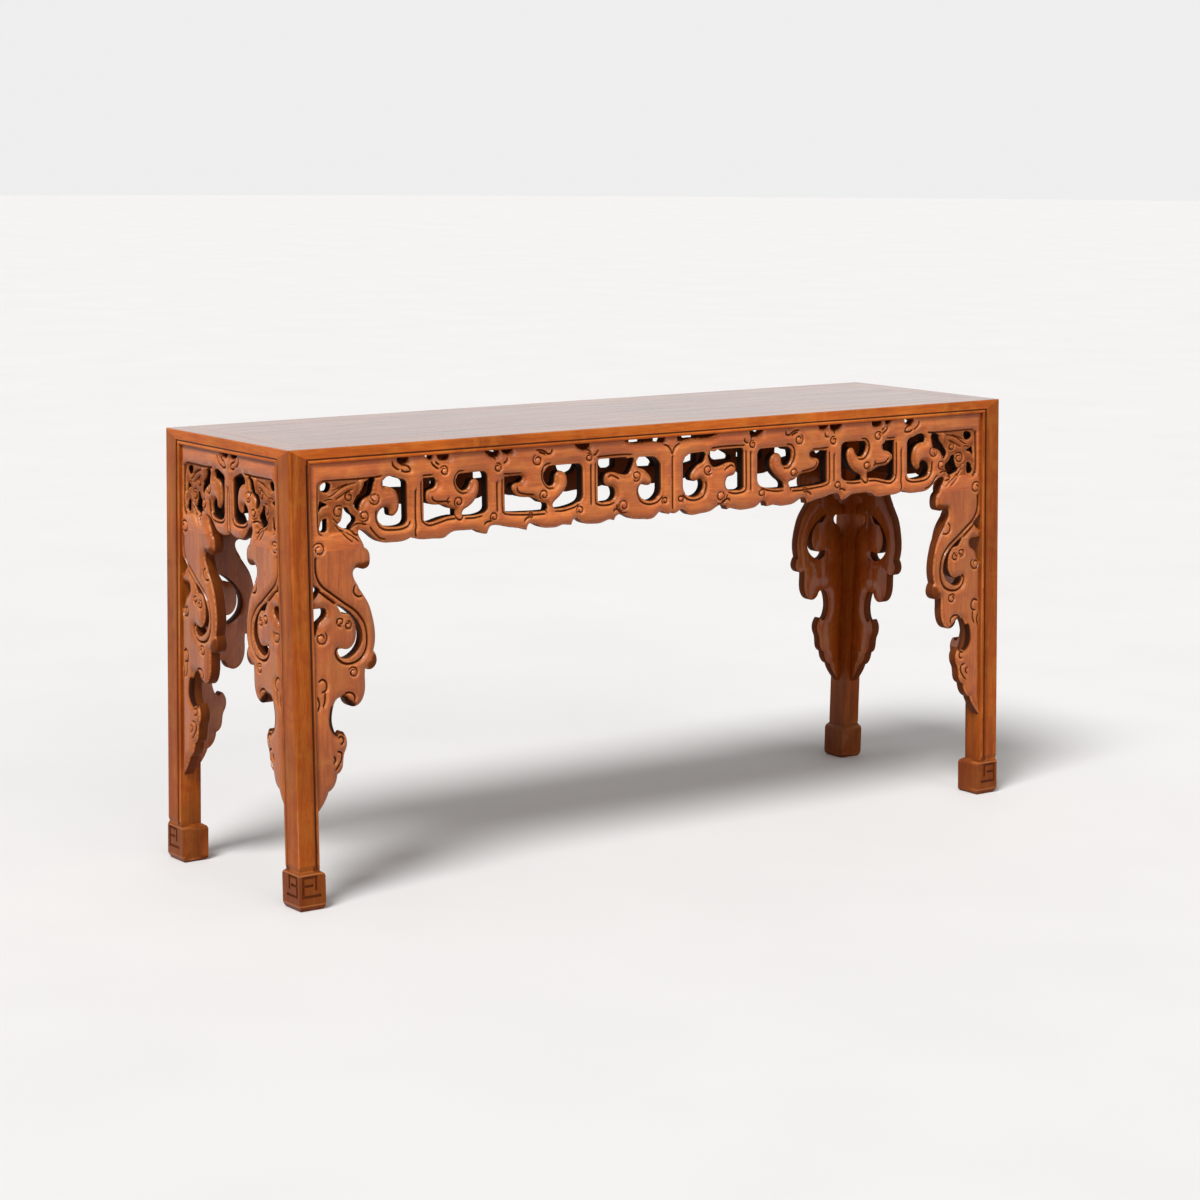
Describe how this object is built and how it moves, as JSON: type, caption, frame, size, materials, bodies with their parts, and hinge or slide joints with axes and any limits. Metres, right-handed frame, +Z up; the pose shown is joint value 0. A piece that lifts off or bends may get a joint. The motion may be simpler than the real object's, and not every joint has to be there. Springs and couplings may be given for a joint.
{
  "type": "altar table",
  "caption": "Long narrow lacquered wood altar table with a mitred frame top, leaning legs, openwork carved aprons and scrolled corner spandrels.",
  "frame": {"origin": "on the floor under the middle of the table", "axes": "+X along the table's length, +Y to the back, +Z up; the front faces -Y"},
  "size_m": [1.712, 0.504, 0.838],
  "materials": {
    "frame_wood": "satin lacquer",
    "panel_wood": "gloss lacquer",
    "carved_wood": "satin lacquer",
    "inner_wood": "matt, unlacquered"
  },
  "bodies": {
    "root": {"back_left_apron": "carved_wood", "back_left_end_spandrel": "carved_wood", "back_left_leg": "frame_wood", "back_left_spandrel": "carved_wood", "back_rail": "frame_wood", "back_right_apron": "carved_wood", "back_right_end_spandrel": "carved_wood", "back_right_leg": "frame_wood", "back_right_spandrel": "carved_wood", "front_left_apron": "carved_wood", "front_left_end_spandrel": "carved_wood", "front_left_leg": "frame_wood", "front_left_spandrel": "carved_wood", "front_rail": "frame_wood", "front_right_apron": "carved_wood", "front_right_end_spandrel": "carved_wood", "front_right_leg": "frame_wood", "front_right_spandrel": "carved_wood", "left_batten": "inner_wood", "left_end_apron": "carved_wood", "left_end_rail": "frame_wood", "middle_batten": "inner_wood", "panel_board_1": "panel_wood", "panel_board_2": "panel_wood", "panel_board_3": "panel_wood", "right_batten": "inner_wood", "right_end_apron": "carved_wood", "right_end_rail": "frame_wood", "spandrel_dowels": "inner_wood"}
  },
  "joints": []
}
